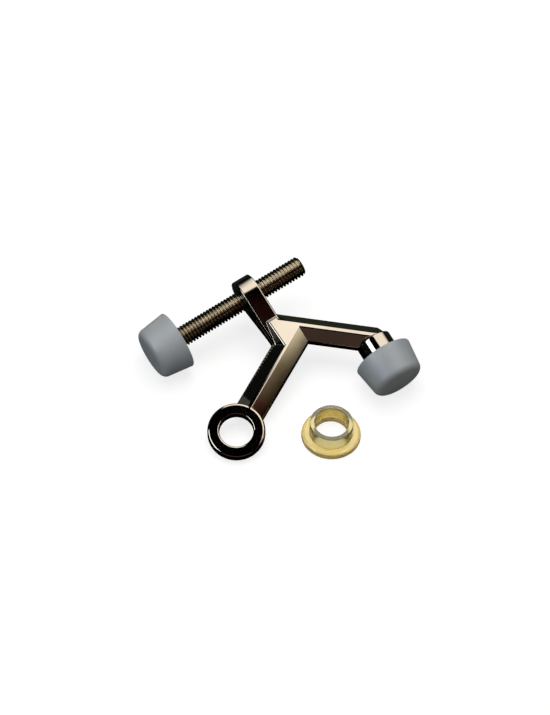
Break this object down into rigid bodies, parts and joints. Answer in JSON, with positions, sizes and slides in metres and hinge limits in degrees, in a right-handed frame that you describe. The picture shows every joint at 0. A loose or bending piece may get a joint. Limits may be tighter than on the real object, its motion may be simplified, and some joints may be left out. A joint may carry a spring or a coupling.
{
  "type": "hinge pin door stop",
  "caption": "Y-shaped cast door stop with an eye for the hinge pin, a screwed rod and a fixed arm that both end in rubber bumpers, and a loose flanged bushing.",
  "frame": {"origin": "middle of the eye's bore, where the hinge pin goes through", "axes": "+Z along the hinge pin, +X to the side of the fixed bumper, so that the fork lies square to the pin with its rod and arm towards +Y"},
  "size_m": [0.081, 0.0628, 0.0174],
  "materials": {
    "casting": "polished black nickel plating on a zinc casting",
    "rod": "black nickel plating on a rolled thread",
    "rubber": "satin grey moulded rubber",
    "bushing_plastic": "translucent straw-coloured moulded plastic"
  },
  "bodies": {
    "bracket": {"bracket": "casting", "fixed_bumper": "rubber", "bushing": "bushing_plastic"},
    "rod_bumper": {"rod_bumper": "rubber"},
    "threaded_rod": {"threaded_rod": "rod"}
  },
  "joints": [
    {"name": "rod_travel", "type": "slide", "parent": "bracket", "child": "rod_bumper", "axis": [0.8387, 0.5446, 0], "range_m": [-0.0145, 0.0215]},
    {"name": "rod_turn", "type": "hinge", "parent": "rod_bumper", "child": "threaded_rod", "pos_m": [0.00374, 0.04272, -0.0026], "axis": [0.8387, 0.5446, 0], "range_deg": [-5221, 7741]}
  ],
  "couplings": [
    {"joint": "rod_turn", "follows": "rod_travel", "rad_per_m": 6283.2}
  ]
}
